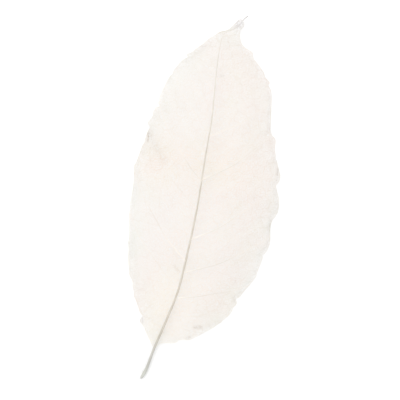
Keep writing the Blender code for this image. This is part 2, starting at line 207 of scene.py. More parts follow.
# The side veins at which the net parts into pieces, from the base to the tip.
PIECE_ENDS = {LEFT: (4, 7), RIGHT: (6, 10)}
PART_NAMES = ("base", "middle", "tip")
SIDE_NAMES = {LEFT: "left", RIGHT: "right"}

# The midrib and the side veins.
RIB_SIDES = 28
FLATNESS = 0.9  # the height of midrib and side veins as a share of their width
RIB_STEP = 0.5
RIB_FINE_Y = 60  # from here on the rings lie closer
RIB_FINE_STEP = 0.2
# Grooves: depth, how many lie round the rib, where they start and their twist along it.
# Lumps: depth, how many lie round it, their twist, and how they swell and sink along it.
RIB_GROOVES = [(0.05, 5, 0, 0.06), (0.04, 8, 1.3, -0.05)]
RIB_LUMPS = (0.03, 2, 1.9, 0.57)
# The stalk's torn end: its depth, its slant, and waves round it as size, count and start.
TORN_DEPTH = 0.45
TORN_SLANT = 0.3
TORN_WAVES = [(0.2, 3, 0.5), (0.15, 7, 0)]
PIT_RING = 3  # the hollow reaches to this ring, is this wide and this deep beyond it
PIT_SHARE = 0.6
PIT_DEPTH = 0.3
LOWEST_RIB = 0.01  # the midrib's own least height
RIB_TURNS = np.arange(RIB_SIDES) * math.tau / RIB_SIDES
VEIN_SIDES = 10
VEIN_RING_STEP = 0.3
# Waves along a side vein that make it uneven: size, and turn for each millimetre along Y and X.
VEIN_WAVES = ((0.06, 2.3), (0.04, 5.1))
VEIN_RAISE = 0.25  # how far a side vein stands above the net, as a share of its radius
BROWN_FADE = 0.12  # the share of a side vein over which a brown stretch fades in
# Stretches of side vein that have stayed brown: the vein's place in its row, from, to and depth.
BROWN_VEINS = {LEFT: [
    (0, 0, 0.5, 0.2), (2, 0.5, 0.9, 0.4), (3, 0.1, 0.5, 0.2), (4, 0.3, 0.6, 0.5), (6, 0.1, 0.9, 0.3),
    (7, 0.08, 0.3, 0.8),
], RIGHT: [
    (1, 0.5, 0.95, 0.5), (2, 0.4, 0.9, 0.4), (3, 0.15, 0.75, 0.6), (5, 0.08, 0.55, 0.7),
    (7, 0.12, 0.5, 0.6), (10, 0.1, 0.52, 0.9), (10, 0.5, 0.8, 0.3)]}

# Colours, as linear red, green and blue; ramps are (place, colour) stops.
NET_BY_RANK = [(0, (0.87, 0.78, 0.7)), (0.5, (0.87, 0.79, 0.72)), (1, (0.84, 0.77, 0.7))]
# Painted light: the blade made lighter and cooler towards its left, as if lit from the upper left.
NET_BY_PAINTED_LIGHT = [
    (0, (0.98, 0.98, 0.98)), (0.37, (1.075, 1.07, 1.085)), (0.48, (1.06, 1.075, 1.075)),
    (0.63, (1.04, 1.06, 1.09)), (0.75, (1.04, 1.085, 1.11)), (1, (1.045, 1.12, 1.15))]
NET_BY_LENGTH = [
    (0, (1.06, 1.1, 1.1)), (0.12, (1.035, 1.06, 1.045)), (0.19, (1.035, 1.055, 1.04)),
    (0.27, (1.012, 1.022, 1.035)), (0.5, (1.01, 1.018, 1.03)), (0.6, (1, 1, 1)), (0.85, (1, 0.99, 1)),
    (1, (0.98, 0.97, 0.99))]
NET_PATCHES = [(0.3, (0.95, 0.93, 0.91)), (0.7, (1, 1, 1))]
NET_HUES = [(0.32, (1.01, 0.985, 0.985)), (0.5, (1, 1, 1)), (0.68, (0.985, 1.005, 0.98))]
NET_GRAINS = [(0.3, (0.94, 0.92, 0.9)), (0.6, (1, 1, 1))]
# The brown of the specks, also given to the painted shade of folds and rolled edges.
STAIN_AND_FOLD_SHADE_COLOUR = (0.52, 0.42, 0.32)
RIB_BY_LENGTH = [
    (0, (0.62, 0.63, 0.61)), (0.015, (0.64, 0.66, 0.61)), (0.035, (0.58, 0.59, 0.56)),
    (0.05, (0.54, 0.54, 0.51)), (0.1, (0.59, 0.575, 0.52)), (0.17, (0.67, 0.63, 0.56)),
    (0.5, (0.69, 0.65, 0.58)), (0.66, (0.73, 0.69, 0.63)), (0.8, (0.8, 0.76, 0.7)),
    (0.92, (0.84, 0.8, 0.74)), (0.95, (0.83, 0.8, 0.75)), (0.98, (0.82, 0.8, 0.78)),
    (0.99, (0.62, 0.6, 0.59)), (1, (0.52, 0.5, 0.49))]
SIDE_VEINS_BY_PATCH = [(0.3, (0.9, 0.85, 0.79)), (0.7, (0.96, 0.91, 0.85))]
BROWN = (0.8, 0.8, 0.79)
RIB_STREAKS = [(0.35, (0.86, 0.84, 0.82)), (0.65, (1, 1, 1))]
RIB_BLOTCHES = [(0.35, (0.92, 0.91, 0.89)), (0.6, (1, 1, 1))]
FLOOR_COLOUR = (0.92, 0.92, 0.92)
SKY_COLOUR = (1, 1, 1)

# The way of the painted light, from the blade's darker right to its paler left, and the two places
# along it, in metres.
PAINTED_LIGHT_WAY = (-0.999, 0.05, 0)
LENGTHWAYS = (0, 1, 0)
PAINTED_LIGHT_START = -0.026
PAINTED_LIGHT_END = 0.034

# The stage and the view, in metres; the view's turn in degrees.
FLOOR_SIZE = 3
SKY_STRENGTH = 1
LIGHT_SIZE = 0.7
LIGHT_POWER = 2
LIGHT_PLACE = (-0.34, 0.18, 0.68)
LENS = 120
SENSOR_WIDTH = 36
VIEW_WIDTH = 0.16
VIEW_CENTRE = (-0.00141, -0.00034)
VIEW_TURN = 16.42


class SmoothLine:
    """A smooth curve through (place, value) points, read at many places at once."""

    def __init__(self, points):
        self.places, self.values = np.array(points, float).T
        steps = np.diff(self.values) / np.diff(self.places)
        before = np.append(steps[0], steps)
        after = np.append(steps, steps[-1])
        turns = before * after <= 0
        total = np.where(turns, 1, before + after)
        self.slopes = np.where(turns, 0, 2 * before * after / total)

    def __call__(self, at):
        at = np.clip(at, self.places[0], self.places[-1])
        last = len(self.places) - 2
        index = np.clip(np.searchsorted(self.places, at, side="right") - 1, 0, last)
        span = self.places[index + 1] - self.places[index]
        share = (at - self.places[index]) / span
        rise = self.values[index + 1] - self.values[index]
        start = self.slopes[index] * span
        end = self.slopes[index + 1] * span
        bend = 3 * rise - 2 * start - end
        twist = start + end - 2 * rise
        return self.values[index] + share * (start + share * (bend + share * twist))


rib_x, rib_height, rib_radius = map(SmoothLine, (RIB_X, RIB_HEIGHT, RIB_RADIUS))
margin_line = {side: SmoothLine(MARGIN_X[side]) for side in SIDES}
margin_height = {side: SmoothLine(MARGIN_HEIGHT[side]) for side in SIDES}


# --- Sums that many parts use ---

def progress(at, start, length):
    """How far along a stretch each place lies, from 0 to 1."""
    return np.clip((at - start) / length, 0, 1)


def bell(gap):
    """A smooth bump: 1 where the gap is nothing, and fading away from there."""
    return np.exp(-gap ** 2)


def unit(vectors):
    """Vectors made one long."""
    return vectors / np.maximum(np.linalg.norm(vectors, axis=-1, keepdims=True), TINY)


def left_of(runs):
    """The unit normal to the left of each flat run."""
    return unit(np.stack((-runs[..., 1], runs[..., 0]), -1))


def cross(first, second):
    """The cross product of flat vectors."""
    return first[..., 0] * second[..., 1] - first[..., 1] * second[..., 0]


# --- The leaf's surface ---

def margin_x(side, y):
    """X of the leaf's outline at Y, with its nicks and teeth."""
    edge = margin_line[side](y)
    for place, depth, half_width in MARGIN_TEETH[side]:
        edge = edge + side * depth * bell((y - place) / half_width)
    return edge


def roll_sizes(side, y):
    """The lift and the roll's radius at Y: each rises from zero and sinks back."""
    lift = radius = np.zeros(len(y))
    for roll_side, low, high, rise, size in ROLLS:
        if roll_side == side:
            swell = np.sin(math.pi * progress(y, low, high - low))
            lift = lift + rise * swell ** 2
            radius = radius + size * swell
    return lift, radius


def flat_margin_x(side, y):
    """X of the margin before it is rolled over."""
    radius = roll_sizes(side, y)[1]
    return margin_x(side, y) + side * radius * (ROLL_ANGLE - 1)


def beside_stroke(places, start, end):
    """The share of a straight stroke beside each flat place, and how far off the stroke is."""
    run = np.subtract(end, start)
    offset = places - start
    share = np.clip(offset @ run / (run @ run), 0, 1)
    return share, np.linalg.norm(offset - share[:, None] * run, axis=1)


def crease_drop(x, y):
    """How far the creases lower the blade at (x, y)."""
    drop = 0
    for start, end, depth, half_width in CREASES:
        share, gap = beside_stroke(np.stack((x, y), -1), start, end)
        drop = drop + depth * (1 - share) * bell(gap / half_width)
    return drop


def cockle(x, y):
    """The faint unevenness of a sheet that has dried."""
    height = 0
    for size, *waves in COCKLES:
        for across, along, start in waves:
            size = size * np.sin(across * x + along * y + start)
        height = height + size
    return height


def surface(side, x, y, puff):
    """Points of the leaf's middle surface over flat points (x, y) of one side."""
    margin = margin_x(side, y)
    lift, radius = roll_sizes(side, y)
    start = margin - side * radius
    beyond = np.maximum(side * (x - start), 0)
    turn = np.minimum(beyond / np.maximum(radius, NO_ROLL), MOST_TURN) * (radius > NO_ROLL)
    plan_x = np.where(turn > 0, start + side * radius * np.sin(turn), x)
    across = progress(plan_x, rib_x(y), margin - rib_x(y))
    low = margin_height[side](y)
    height = low + (rib_height(y) - low) * (0.5 + 0.5 * np.cos(math.pi * across))
    height += (PUFF * puff + cockle(plan_x, y)) * np.sin(math.pi * across)
    height -= crease_drop(plan_x, y)
    height += lift * progress(across, 1 - LIFT_WIDTH, LIFT_WIDTH) ** 2
    height = np.maximum(height, 0) + radius * (1 - np.cos(turn))
    return np.stack((plan_x, y, height), -1)


# --- Curves that the net follows ---

def evenly(line, step):
    """Evenly spaced points along a line, and the share of the way that each has come."""
    lengths = np.linalg.norm(np.diff(line, axis=0), axis=1)
    travelled = np.concatenate(([0], np.cumsum(lengths)))
    count = max(3, round(travelled[-1] / step) + 1)
    at = np.linspace(0, travelled[-1], count)
    points = [np.interp(at, travelled, line[:, axis]) for axis in (0, 1)]
    return np.stack(points, -1), at / travelled[-1]


def directions(line):
    """The unit direction of a line at each of its points."""
    return unit(np.gradient(line, axis=0))


class Curves:
    """Several curves that together answer which point of them lies nearest."""

    def __init__(self, lines):
        sampled = [evenly(line, CURVE_STEP) for line in lines]
        self.points = np.vstack([points for points, _ in sampled])
        self.along = np.vstack([directions(points) for points, _ in sampled])
        self.share = np.concatenate([share for _, share in sampled])
        self.curve = np.repeat(np.arange(len(lines)), [len(points) for points, _ in sampled])

    def nearest(self, points):
        """For each point: the nearest place, which curve, the share along it, how far left."""
        found = nearest_of(self.points, points)[0]
        along = self.along[found]
        offset = points - self.points[found]
        slide = np.clip((offset * along).sum(1), -CURVE_STEP, CURVE_STEP)
        place = self.points[found] + slide[:, None] * along
        return place, self.curve[found], self.share[found], cross(along, offset)


def nearest_of(points, places):
    """For each place: which of the points is the nearest, and how far off it is."""
    tree = KDTree(len(points))
    for index, (x, y) in enumerate(points):
        tree.insert((x, y, 0), index)
    tree.balance()
    found = np.reshape([tree.find((x, y, 0))[1:] for x, y in places], (-1, 2))
    return found[:, 0].astype(int), found[:, 1]


def side_vein_line(side, start, end):
    """A side vein in plan: from the rib in a slightly uneven arc to the margin."""
    root = np.array((rib_x(start), start))
    tip = np.array((flat_margin_x(side, np.array([end]))[0], end))
    run = tip - root
    bend = min(1, np.linalg.norm(run) / FULL_BEND_LENGTH) ** 2
    elbow = root + run * (0.5 + bend * np.subtract(VEIN_ELBOW, 0.5))
    share = np.linspace(0, 1, VEIN_POINTS)[:, None]
    line = (1 - share) ** 2 * root + 2 * share * (1 - share) * elbow + share ** 2 * tip
    sway = np.sin(SWAY_BENDS * math.pi * share + start) * np.sin(math.pi * share)
    return line + VEIN_SWAY * sway * np.array((-run[1], run[0]))


def run_on(line):
    """A line with a straight stretch added at its end."""
    return np.vstack((line, line[-1] + RUN_ON * (line[-1] - line[-2])))


def margin_vein_line(side):
    """The middle of the vein that runs along a margin."""
    line = np.stack((flat_margin_x(side, NET_Y), NET_Y), -1)
    return line + side * MARGIN_VEIN[side] * left_of(np.gradient(line, axis=0))


def side_vein_half_width(side, vein, share):
    """Half the width of a side vein, which tapers from the rib to the margin."""
    share = np.clip(share, 0, 1)
    widening, reach = ROOT_FLARE
    flare = 1 + widening * np.exp(-share / reach)
    taper = SIDE_VEIN_ROOT + (SIDE_VEIN_END - SIDE_VEIN_ROOT) * share ** VEIN_TAPER
    return VEIN_STRENGTHS[side][vein] * flare * taper


# From just before the blade to just past the tip.
NET_Y = np.arange(BLADE_BASE_Y - 1, TIP_Y + 1, CURVE_STEP)
RIB_LINE = np.stack((rib_x(NET_Y), NET_Y), -1)
MARGIN_LINES = {side: margin_vein_line(side) for side in SIDES}
VEIN_LINES = {side: [side_vein_line(side, *row[:2]) for row in SIDE_VEINS[side]] for side in SIDES}
VEIN_STRENGTHS = {side: np.array([row[2] for row in SIDE_VEINS[side]]) for side in SIDES}
RIB = Curves([RIB_LINE])
MARGINS = {side: Curves([MARGIN_LINES[side]]) for side in SIDES}
VEINS = {side: Curves([run_on(line) for line in VEIN_LINES[side]]) for side in SIDES}


# --- The cells of the net ---

def staggered_rows(line, half_width_at):
    """Seeds along both sides of a line, the second row half a step behind the first."""
    points, share = evenly(line, SPACING)
    reach = left_of(np.gradient(points, axis=0)) * np.reshape(half_width_at(share) + HOLE_REACH, (-1, 1))
    middles = (points[1:] + points[:-1]) / 2
    return np.vstack((points + reach, middles - reach[1:]))


def curve_seeds():
    """Seeds beside the rib, the margins and the side veins, the most important first."""
    rows = [staggered_rows(RIB_LINE, lambda share: RIB_EDGE_VEIN)]
    rows += [staggered_rows(MARGIN_LINES[side], lambda share: MARGIN_VEIN[side]) for side in SIDES]
    for side in SIDES:
        for vein, line in enumerate(VEIN_LINES[side]):
            rows.append(staggered_rows(line, lambda share: side_vein_half_width(side, vein, share)))
    return rows


def hexagonal_points(spacing, jitter, random):
    """Points over the whole leaf on a shaken hexagonal grid."""
    rows = np.arange(BLADE_BASE_Y, TIP_Y, spacing * math.sqrt(3) / 2)
    columns = np.arange(-WIDEST_X, WIDEST_X, spacing)
    x, y = np.meshgrid(columns, rows)
    x[1::2] += spacing / 2
    points = np.stack((x.ravel(), y.ravel()), -1)
    return points + random.uniform(-jitter, jitter, points.shape) * spacing


def is_inside(points):
    """Whether each point lies on the leaf before its margin is rolled."""
    x, y = points.T
    inside = (y > BLADE_BASE_Y) & (y < TIP_Y)
    return inside & (x > flat_margin_x(LEFT, y)) & (x < flat_margin_x(RIGHT, y))


def net_seeds(random):
    """The middles of all cells: rows along the curves, and a shaken grid between them."""
    kept = np.zeros((0, 2))
    for row in curve_seeds():
        if len(kept):
            row = row[nearest_of(kept, row)[1] > CLOSEST_ROWS * SPACING]
        kept = np.vstack((kept, row))
    fill = hexagonal_points(SPACING, FILL_JITTER, random)
    fill = fill[is_inside(fill)]
    fill = fill[random.random(len(fill)) > MISSING_SHARE]
    fill = fill[nearest_of(kept, fill)[1] > CLOSEST_FILL * SPACING]
    fill = fill[np.abs(nearest_vein(fill)[3]) > SPACING / 2]
    return np.vstack((kept, fill, surrounding_points()))


def surrounding_points():
    """Seeds well outside the leaf, so that every cell of the leaf has neighbours all round."""
    angle = np.linspace(0, math.tau, SURROUND_COUNT, endpoint=False)
    return np.stack((np.cos(angle), np.sin(angle)), -1) * SURROUND_SIZE


def side_of(points):
    """Which half of the leaf each point lies on."""
    return np.where(points[:, 0] < rib_x(points[:, 1]), LEFT, RIGHT)


def nearest_vein(points):
    """For each point: the nearest place on its side's veins, which vein, share along, how far up."""
    sides = side_of(points)
    rows = np.zeros((len(points), 5))
    for side in SIDES:
        rows[sides == side] = np.column_stack(VEINS[side].nearest(points[sides == side]))
    return rows[:, :2], rows[:, 2].astype(int), rows[:, 3], sides * rows[:, 4]


class Net:
    """The leaf's net drawn flat: its cells, the corners where three cells meet, and the veins.

    A corner is a triangle of neighbouring cells. A vein runs between the corners on each side
    of a triangle's edge, so arrays of veins have a row for each corner and three columns.
    """

    def __init__(self, random):
        self.seeds = net_seeds(random)
        self.label_cells(random)
        self.join_cells()
        self.place_corners()
        self.measure_veins(random)
        self.relax()
        self.find_hole_corners()

    def label_cells(self, random):
        """Finds the side, region and coarser fields of the net that each cell lies in."""
        self.side = side_of(self.seeds)
        _, vein, _, above = nearest_vein(self.seeds)
        self.region = vein + (above > 0)
        self.outside = ~is_inside(self.seeds)
        self.torn = self.outside | is_torn(self.seeds)
        self.fields = [nearest_of(hexagonal_points(spacing, FIELD_JITTER, random), self.seeds)[0]
                       for spacing, _, _ in FIELDS]

    def join_cells(self):
        """Finds each three cells that meet, and the corner on the other side of each edge."""
        faces = delaunay_2d_cdt([Vector(seed) for seed in self.seeds], [], [], 0, MERGE_DISTANCE)[2]
        cells = np.array(faces)
        a, b, c = (self.seeds[cells[:, k]] for k in range(3))
        clockwise = cross(b - a, c - a) < 0
        cells[clockwise] = cells[clockwise][:, ::-1]
        self.cells = cells
        self.across = np.roll(cells, -1, axis=1)
        forward = (cells * len(self.seeds) + self.across).ravel()
        backward = (self.across * len(self.seeds) + cells).ravel()
        order = np.argsort(forward)
        found = np.minimum(np.searchsorted(forward[order], backward), len(order) - 1)
        has_twin = forward[order][found] == backward
        self.twin = np.where(has_twin, order[found], -1).reshape(cells.shape)
        self.beyond = np.where(self.twin >= 0, self.twin // 3, np.arange(len(cells))[:, None])

    def place_corners(self):
        """Puts corners between fields on the curve that parts them, and the rest midway."""
        cells = self.cells
        self.places = self.seeds[cells].mean(axis=1)
        fixed = differ(self.region[cells]) & ~differ(self.side[cells])
        self.places[fixed] = nearest_vein(self.places[fixed])[0]
        for side in SIDES:
            margin = differ(self.outside[cells]) & (self.side[cells] == side).any(axis=1)
            self.places[margin] = MARGINS[side].nearest(self.places[margin])[0]
            fixed |= margin
        rib = differ(self.side[cells])
        self.places[rib] = RIB.nearest(self.places[rib])[0]
        self.free = ~(fixed | rib | self.outside[cells].any(axis=1))

    def measure_veins(self, random):
        """Gives each vein its half-width and its rank, from 0 for the finest to 1."""
        first, second = self.cells, self.across
        uneven = random.uniform(*UNEVEN_WIDTHS, UNEVEN_COUNT)[(first + second) % UNEVEN_COUNT]
        width = FINE_VEIN * uneven
        rank = np.zeros(width.shape)
        for field, (_, half_width, level) in zip(self.fields[::-1], FIELDS[::-1]):
            parted = field[first] != field[second]
            evened = 1 - FIELD_UNEVENNESS + FIELD_UNEVENNESS * uneven
            width = np.where(parted, half_width * evened, width)
            rank = np.where(parted, level, rank)
        for side in SIDES:
            parted = (self.side[first] == side) & (self.side[second] == side)
            parted &= self.region[first] != self.region[second]
            middles = (self.seeds[first[parted]] + self.seeds[second[parted]]) / 2
            _, vein, share, _ = VEINS[side].nearest(middles)
            width[parted] = CORE_SHARE * side_vein_half_width(side, vein, share)
            rank[parted] = 1 - RANK_DROP * np.clip(share, 0, 1)
            margin = (self.outside[first] != self.outside[second]) & (self.side[first] == side)
            width[margin] = MARGIN_VEIN[side]
            rank[margin] = MARGIN_RANK
        width[self.side[first] != self.side[second]] = RIB_EDGE_VEIN
        self.half_width = width * crowding((self.seeds[first] + self.seeds[second]) / 2)
        self.rank = rank

    def relax(self):
        """Evens out the free corners, the wider veins pulling the straighter."""
        pull = self.half_width[..., None] ** 2
        for _ in range(RELAX_ROUNDS):
            middle = (self.places[self.beyond] * pull).sum(axis=1) / pull.sum(axis=1)
            self.places[self.free] += RELAX_SHARE * (middle - self.places)[self.free]

    def find_hole_corners(self):
        """Finds the corner of each hole beside each corner of the net, inside its veins."""
        here = self.places[:, None]
        first = left_of(here - self.places[self.beyond])
        second = left_of(self.places[np.roll(self.beyond, 1, axis=1)] - here)
        wide = self.half_width[..., None]
        wide_after = np.roll(wide, 1, axis=1)
        turn = cross(first, second)[..., None]
        straight = np.abs(turn) < STRAIGHT
        gap = wide * second - wide_after * first
        corner = np.stack((gap[..., 1], -gap[..., 0]), -1) / np.where(straight, 1, turn)
        along = unit(first + second) * ((wide + wide_after) / 2)
        self.holes = here + self.shortened(np.where(straight, along, corner))

    def shortened(self, offset):
        """Keeps each hole's corner short of the hole's middle."""
        cells = self.cells.ravel()
        counts = np.maximum(np.bincount(cells), 1)
        corners = np.repeat(self.places, 3, axis=0)
        middles = np.stack([np.bincount(cells, corners[:, k]) / counts for k in (0, 1)], -1)
        inwards = middles[self.cells] - self.places[:, None]
        length = np.linalg.norm(offset, axis=-1, keepdims=True)
        room = HOLE_ROOM * np.linalg.norm(inwards, axis=-1, keepdims=True)
        too_long = (length > room) & ~self.torn[self.cells][..., None]
        longest = LONGEST_CORNER * self.half_width.max(axis=1)[:, None, None]
        limit = np.minimum(1, longest / np.maximum(length, TINY))
        return np.where(too_long, HOLE_ROOM * inwards, offset * limit)


def differ(labels):
    """Whether the three labels of each row are not all the same."""
    return (labels != labels[:, :1]).any(axis=1)


def is_torn(points):
    """Whether the net is missing at each point: its frayed margin and small tears."""
    x, y = points.T
    torn = y > BLADE_TIP_Y
    for side in SIDES:
        depth = side * (flat_margin_x(side, y) - x)
        ragged = sum(np.sin(wave * y + shift * side) for wave, shift in FRAY_WAVES)
        for deepest, level in FRAYS:
            torn |= (depth < deepest) & (ragged > level)
    for centre_x, centre_y, half_width, half_length in TEARS:
        torn |= ((x - centre_x) / half_width) ** 2 + ((y - centre_y) / half_length) ** 2 < 1
    return torn


def crowding(places):
    """How much wider the veins are where they crowd together towards the tip."""
    x, y = places[..., 0], places[..., 1]
    start, length, widening = CROWDED
    left = progress(rib_x(y) - x, 0, MATTED_STRIP_WIDTH)
    matted = np.maximum(left * progress(y, *MATTED_STRIP), progress(y, *MATTED_TIP))
    return 1 + widening * progress(y, start, length) + MATTING * matted


# --- The net as solid pieces ---

def raised(places, sides, puff):
    """Points of the leaf's middle surface over flat places, kept clear of the floor."""
    points = np.zeros((len(places), 3))
    for side in SIDES:
        here = sides == side
        points[here] = surface(side, places[here, 0], places[here, 1], puff[here])
    above = points[:, 2] - FLOOR_GAP
    points[:, 2] = FLOOR_GAP + (above + np.sqrt(above ** 2 + FLOOR_SOFTNESS ** 2)) / 2
    return points


def surface_normals(places, sides, puff):
    """The upward unit normals of the middle surface over flat places."""
    here = raised(places, sides, puff)
    east = raised(places + (NORMAL_STEP, 0), sides, puff) - here
    north = raised(places + (0, NORMAL_STEP), sides, puff) - here
    return unit(np.cross(east, north))


def vein_solids(net):
    """What all pieces share: each corner's place in space and how far the net's faces stand off
    it, and the side and the bulge of the blade at each hole's corner."""
    sides = net.side[net.cells[:, 0]]
    above = np.abs(nearest_vein(net.places)[3])
    puff = np.sin(np.minimum(above / PUFF_REACH, 1) * math.pi / 2)
    rise = HEIGHT_SHARE * net.half_width.max(axis=1)
    lift = surface_normals(net.places, sides, puff) * rise[:, None]
    return raised(net.places, sides, puff), lift, net.side[net.cells].ravel(), np.repeat(puff, 3)


def piece_faces(net, inside):
    """The faces of one closed piece made of the cells that are marked inside."""
    first_in = inside[net.cells]
    used = (first_in | inside[net.across]) & (net.twin >= 0)
    corner, column = np.nonzero(used)
    other = net.beyond[corner, column]
    other_column = (net.twin[corner, column] % 3 + 1) % 3
    total = len(net.cells)
    here = hole_index(first_in, corner, column)
    there = hole_index(first_in, other, other_column)
    tops = np.stack((other, corner, here, there), -1)
    bottoms = np.stack((there, here, corner + total, other + total), -1)
    return np.vstack((tops, bottoms))


def hole_index(inside, corner, column):
    """The vertex of a hole's corner, where two cells outside the piece share one vertex."""
    lone = inside[corner].sum(axis=1) == 1
    shared = np.argmax(inside[corner], axis=1)
    column = np.where(lone & ~inside[corner, column], (shared + 1) % 3, column)
    return 2 * len(inside) + 3 * corner + column


def piece_points(net, solids, inside):
    """The points of one piece in space and in plan, its outer edge drawn in or out to close it."""
    middle, lift, corner_sides, corner_puff = solids
    first_in = inside[net.cells]
    lone = first_in.sum(axis=1) == 1
    shared = np.argmax(first_in, axis=1)
    reach = np.where(net.torn[net.cells], 1, SEAM_REACH)[..., None]
    here = net.places[:, None]
    opposite = 2 * here - net.holes[np.arange(len(shared)), shared][:, None]
    outer = np.where(lone[:, None, None], opposite, net.holes)
    holes = np.where(first_in[..., None], net.holes, here + reach * (outer - here)).reshape(-1, 2)
    points = np.vstack((middle + lift, middle - lift, raised(holes, corner_sides, corner_puff)))
    return points, np.vstack((net.places, net.places, holes))


def stain_and_fold_shade_depth(places):
    """How deeply each flat place is stained or given painted fold shade, from 0 to 1."""
    depth = np.zeros(len(places))
    for start, end, half_width, strength in STAINS_AND_FOLD_SHADE:
        gap = beside_stroke(places, start, end)[1]
        depth = np.maximum(depth, strength * bell(gap / half_width))
    return depth


def tinted(tint, share, colour):
    """A tint taken to a colour by each place's share."""
    return tint * (1 - share[:, None] * np.subtract(1, colour))


def tint_of(side, places):
    """The colour that stains, painted shade of folds, creases and rolled edges, tinted places and the
    rim give each flat place of one side.
    """
    tint = tinted(1, stain_and_fold_shade_depth(places), STAIN_AND_FOLD_SHADE_COLOUR)
    for x, y, half_width, half_length, colour in TINTS:
        gap = np.linalg.norm((places - (x, y)) / (half_width, half_length), axis=1)
        tint = tinted(tint, bell(gap), colour)
    depth = np.maximum(margin_depth(side, places), 0)
    y = places[:, 1]
    # The darker bands are painted shade along the margin.
    for rim_side, low, high, middle, reach, colour in RIMS_AND_EDGE_SHADE:
        if rim_side == side:
            share = progress(np.minimum(y - low, high - y), 0, RIM_FADE)
            tint = tinted(tint, share * bell((depth - middle) / reach), colour)
    return tint


def margin_depth(side, places):
    """How far inside the margin of one side each flat place lies."""
    x, y = places.T
    slope = (margin_line[side](y + 1) - margin_line[side](y - 1)) / 2
    return side * (flat_margin_x(side, y) - x) / np.hypot(1, slope)


def net_piece(net, solids, side, inside, name, finish):
    """Adds one closed piece of the net, coloured by place."""
    used, faces = np.unique(piece_faces(net, inside), return_inverse=True)
    faces = faces.reshape(-1, 4)
    points, plan = (rows[used] for rows in piece_points(net, solids, inside))
    ranks = np.concatenate((np.tile(net.rank.max(axis=1), 2),
                            np.maximum(net.rank, np.roll(net.rank, 1, axis=1)).ravel()))
    mesh = bpy.data.meshes.new(name)
    mesh.from_pydata(points * MM, [], faces)
    mesh.uv_layers.new(name="OFBake").data.foreach_set("uv", flat_layout(plan, faces).ravel())
    set_values(mesh, "rank", ranks[used])
    # The tint holds stains, tinted places and painted shade of folds, creases and the margin.
    tint = mesh.attributes.new("tint", "FLOAT_VECTOR", "POINT")
    tint.data.foreach_set("vector", tint_of(side, plan).ravel())
    add_piece(name, mesh, finish)


def flat_layout(plan, faces):
    """A piece's layout for baking: its top as seen from above, and its underside beside it."""
    across = (plan[:, 0] + WIDEST_X) / (2 * WIDEST_X)
    along = (plan[:, 1] - STALK_END_Y) / (TIP_Y - STALK_END_Y)
    below = np.arange(len(faces)) >= len(faces) // 2
    return np.stack(((across[faces] + below[:, None]) / 2, along[faces]), -1)


def set_values(mesh, name, values):
    """Gives each point of a mesh a named number, which its material reads."""
    mesh.attributes.new(name, "FLOAT", "POINT").data.foreach_set("value", values)


def add_object(name, data):
    """Adds an object to the scene."""
    thing = bpy.data.objects.new(name, data)
    bpy.context.collection.objects.link(thing)
    return thing


def add_piece(name, mesh, finish):
    """Adds a mesh to the scene as a piece of the leaf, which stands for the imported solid."""
    mesh.shade_smooth()
    mesh.materials.append(finish)
    piece = add_object(name, mesh)
    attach(piece, "root")
    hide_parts("leaf")


def build_net(finish):
    """Adds the whole net, in closed pieces that meet along side veins."""
    net = Net(np.random.default_rng(SEED))
    solids = vein_solids(net)
    for side in SIDES:
        part = np.searchsorted(PIECE_ENDS[side], net.region, side="left")
        for index, part_name in enumerate(PART_NAMES):
            inside = (net.side == side) & (part == index) & ~net.torn
            net_piece(net, solids, side, inside, f"net_{SIDE_NAMES[side]}_{part_name}", finish)


# --- The midrib, the stalk and the side veins ---

def tube_rings(line, normal, radius):
    """Rings of points round a line: radius has a row for each ring and a column for each side."""
    along = directions(line)
    right = unit(np.cross(along, normal))
    up = np.cross(right, along)
    turn = np.arange(radius.shape[1])[:, None] * math.tau / radius.shape[1]
    outward = np.cos(turn) * right[:, None] + FLATNESS * np.sin(turn) * up[:, None]
    return line[:, None] + radius[..., None] * outward


def tube_sides(count, sides, first):
    """The quads between the rings of a tube whose vertices start at the index first."""
    start = first + sides * np.arange(count - 1)[:, None]
    low = start + np.arange(sides)
    ahead = start + (np.arange(sides) + 1) % sides
    return np.stack((low, ahead, ahead + sides, low + sides), -1).reshape(-1, 4).tolist()


def fan(ring, middle, turned):
    """Triangles from a ring of vertices to a middle one."""
    after = np.roll(ring, -1)
    pair = (after, ring) if turned else (ring, after)
    return [(int(middle), int(a), int(b)) for a, b in zip(*pair)]


def rib_rings():
    """The rings of the midrib and stalk, grooved lengthways like a bundle of fibres."""
    y = np.concatenate((np.arange(STALK_END_Y, RIB_FINE_Y, RIB_STEP),
                        np.arange(RIB_FINE_Y, TIP_Y, RIB_FINE_STEP), [TIP_Y]))
    line = np.stack((rib_x(y), y, rib_height(y)), -1)
    place = y[:, None]
    groove = 0
    for depth, count, start, twist in RIB_GROOVES:
        groove = groove + depth * np.sin(count * RIB_TURNS + start + twist * place)
    size, count, twist, swell = RIB_LUMPS
    groove = groove + size * np.sin(twist * place + count * RIB_TURNS) * np.sin(swell * place)
    return tube_rings(line, (0, 0, 1), rib_radius(y)[:, None] * (1 + groove))


